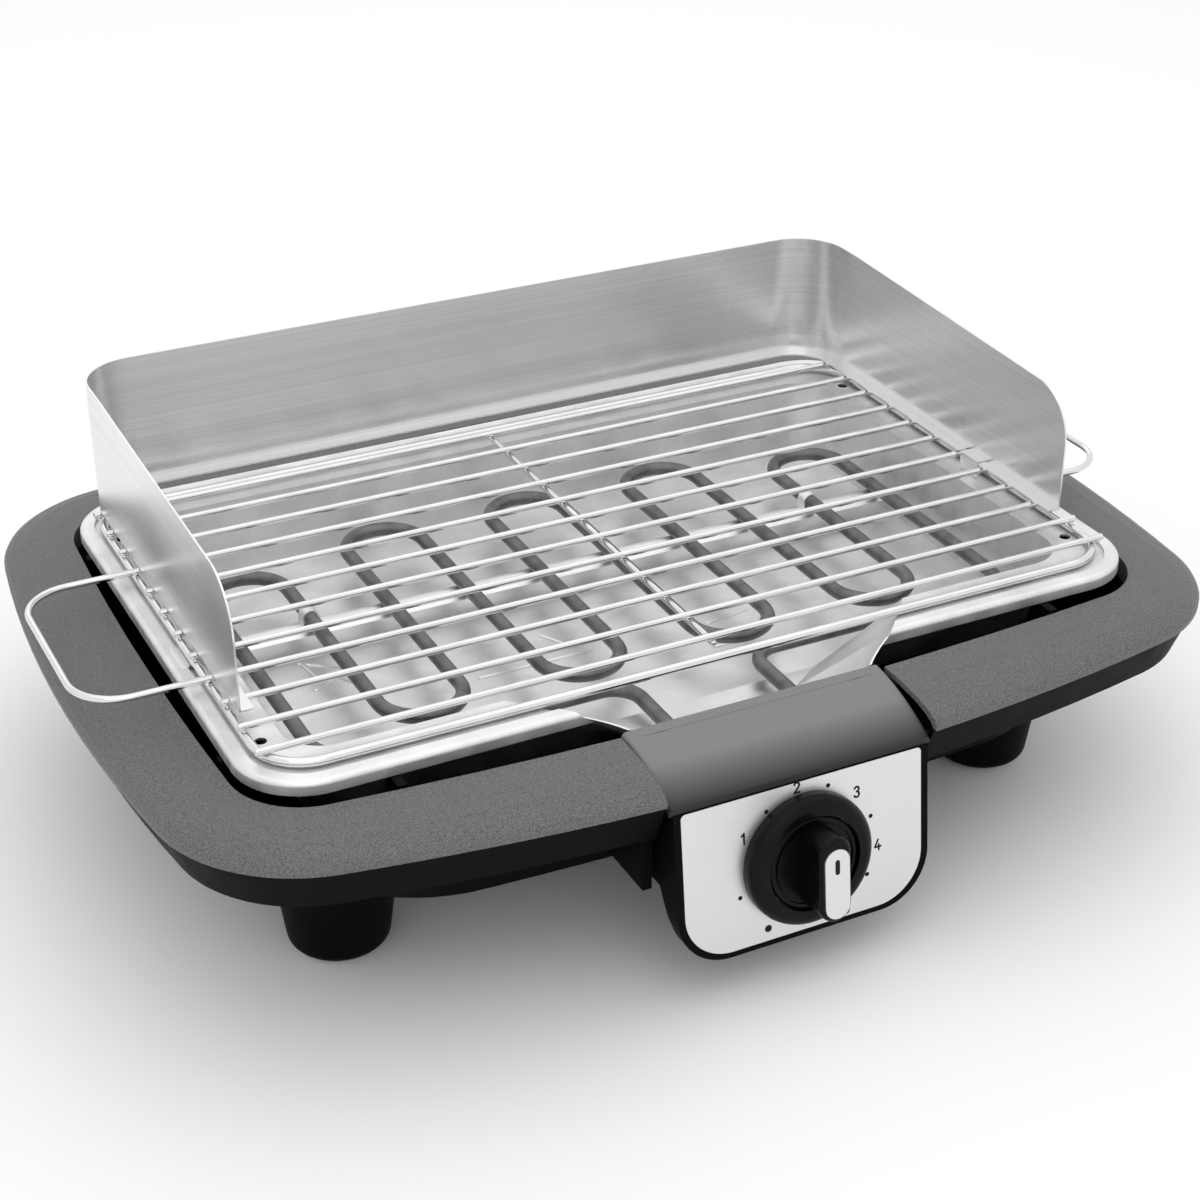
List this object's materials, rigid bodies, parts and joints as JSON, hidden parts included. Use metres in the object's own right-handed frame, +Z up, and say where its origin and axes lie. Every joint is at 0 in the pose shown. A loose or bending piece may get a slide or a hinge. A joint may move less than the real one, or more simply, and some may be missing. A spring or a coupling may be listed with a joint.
{
  "type": "electric table grill",
  "caption": "Electric table-top barbecue grill: black base with grey bezel, steel tray, looped heating element, front control box with dial, wire grid and lift-off windshield.",
  "frame": {"origin": "on the table, below the middle of the bezel ring", "axes": "+X to the right along the long side, +Y to the back, away from the control box, +Z up"},
  "size_m": [0.497, 0.4011, 0.1798],
  "materials": {
    "black_plastic": "satin",
    "grained_grey_plastic": "fine grain, satin",
    "cover_grey_plastic": "smooth satin",
    "dial_black_plastic": "semi gloss",
    "black_rubber": "matt",
    "zinc_steel": "zinc plated",
    "bright_steel": "bright rolled",
    "brushed_plate": "fine brushed",
    "brushed_shield": "brushed",
    "chrome_wire": "polished",
    "element_sheath": "oxidised dark grey sheath",
    "ceramic_white": "matt moulded",
    "terminal_brass": "plain",
    "lead_insulation": "woven-look sleeve, matt"
  },
  "bodies": {
    "base": {"base_shell": "black_plastic", "base_flange": "black_plastic", "base_skirt": "black_plastic", "base_cheeks": "black_plastic", "bezel_ring": "grained_grey_plastic", "bezel_screws": "zinc_steel", "foot_front_left": "black_plastic", "foot_front_right": "black_plastic", "foot_back_left": "black_plastic", "foot_back_right": "black_plastic", "foot_pads": "black_rubber", "foot_screws": "zinc_steel"},
    "tray": {"reflector_tray": "bright_steel"},
    "heater": {"heating_element": "element_sheath", "element_pins": "zinc_steel", "element_support_strip": "bright_steel", "element_clips": "bright_steel", "element_plate": "zinc_steel", "element_rivets": "zinc_steel", "control_housing": "black_plastic", "control_top_cover": "cover_grey_plastic", "front_plate": "brushed_plate", "dial_collar": "dial_black_plastic", "thermostat_body": "ceramic_white", "thermostat_bracket": "zinc_steel", "thermostat_nut": "zinc_steel", "thermostat_tabs": "terminal_brass", "terminal_block": "ceramic_white", "thermal_fuse": "zinc_steel", "fuse_clip": "zinc_steel", "lead_wires": "lead_insulation", "cord_gland": "black_rubber"},
    "knob": {"knob_body": "dial_black_plastic", "knob_cap": "brushed_plate", "knob_spring_clip": "zinc_steel", "thermostat_shaft": "zinc_steel"},
    "grid": {"grid_frame_wire": "chrome_wire", "grid_rods": "chrome_wire", "grid_handle_loop": "chrome_wire", "grid_centre_wire": "chrome_wire"},
    "windshield": {"windshield": "brushed_shield"}
  },
  "joints": [
    {"name": "tray_lift", "type": "slide", "parent": "base", "child": "tray", "axis": [0, 0, 1], "range_m": [0, 0.06]},
    {"name": "heater_lift", "type": "slide", "parent": "tray", "child": "heater", "axis": [0, 0, 1], "range_m": [0, 0.09]},
    {"name": "knob_turn", "type": "hinge", "parent": "heater", "child": "knob", "pos_m": [0, -0.18795, 0.0557], "axis": [0, -0.9925, 0.1219], "range_deg": [-147, 150]},
    {"name": "grid_lift", "type": "slide", "parent": "heater", "child": "grid", "axis": [0, 0, 1], "range_m": [0, 0.04]},
    {"name": "windshield_lift", "type": "slide", "parent": "grid", "child": "windshield", "axis": [0, 0, 1], "range_m": [0, 0.06]}
  ]
}
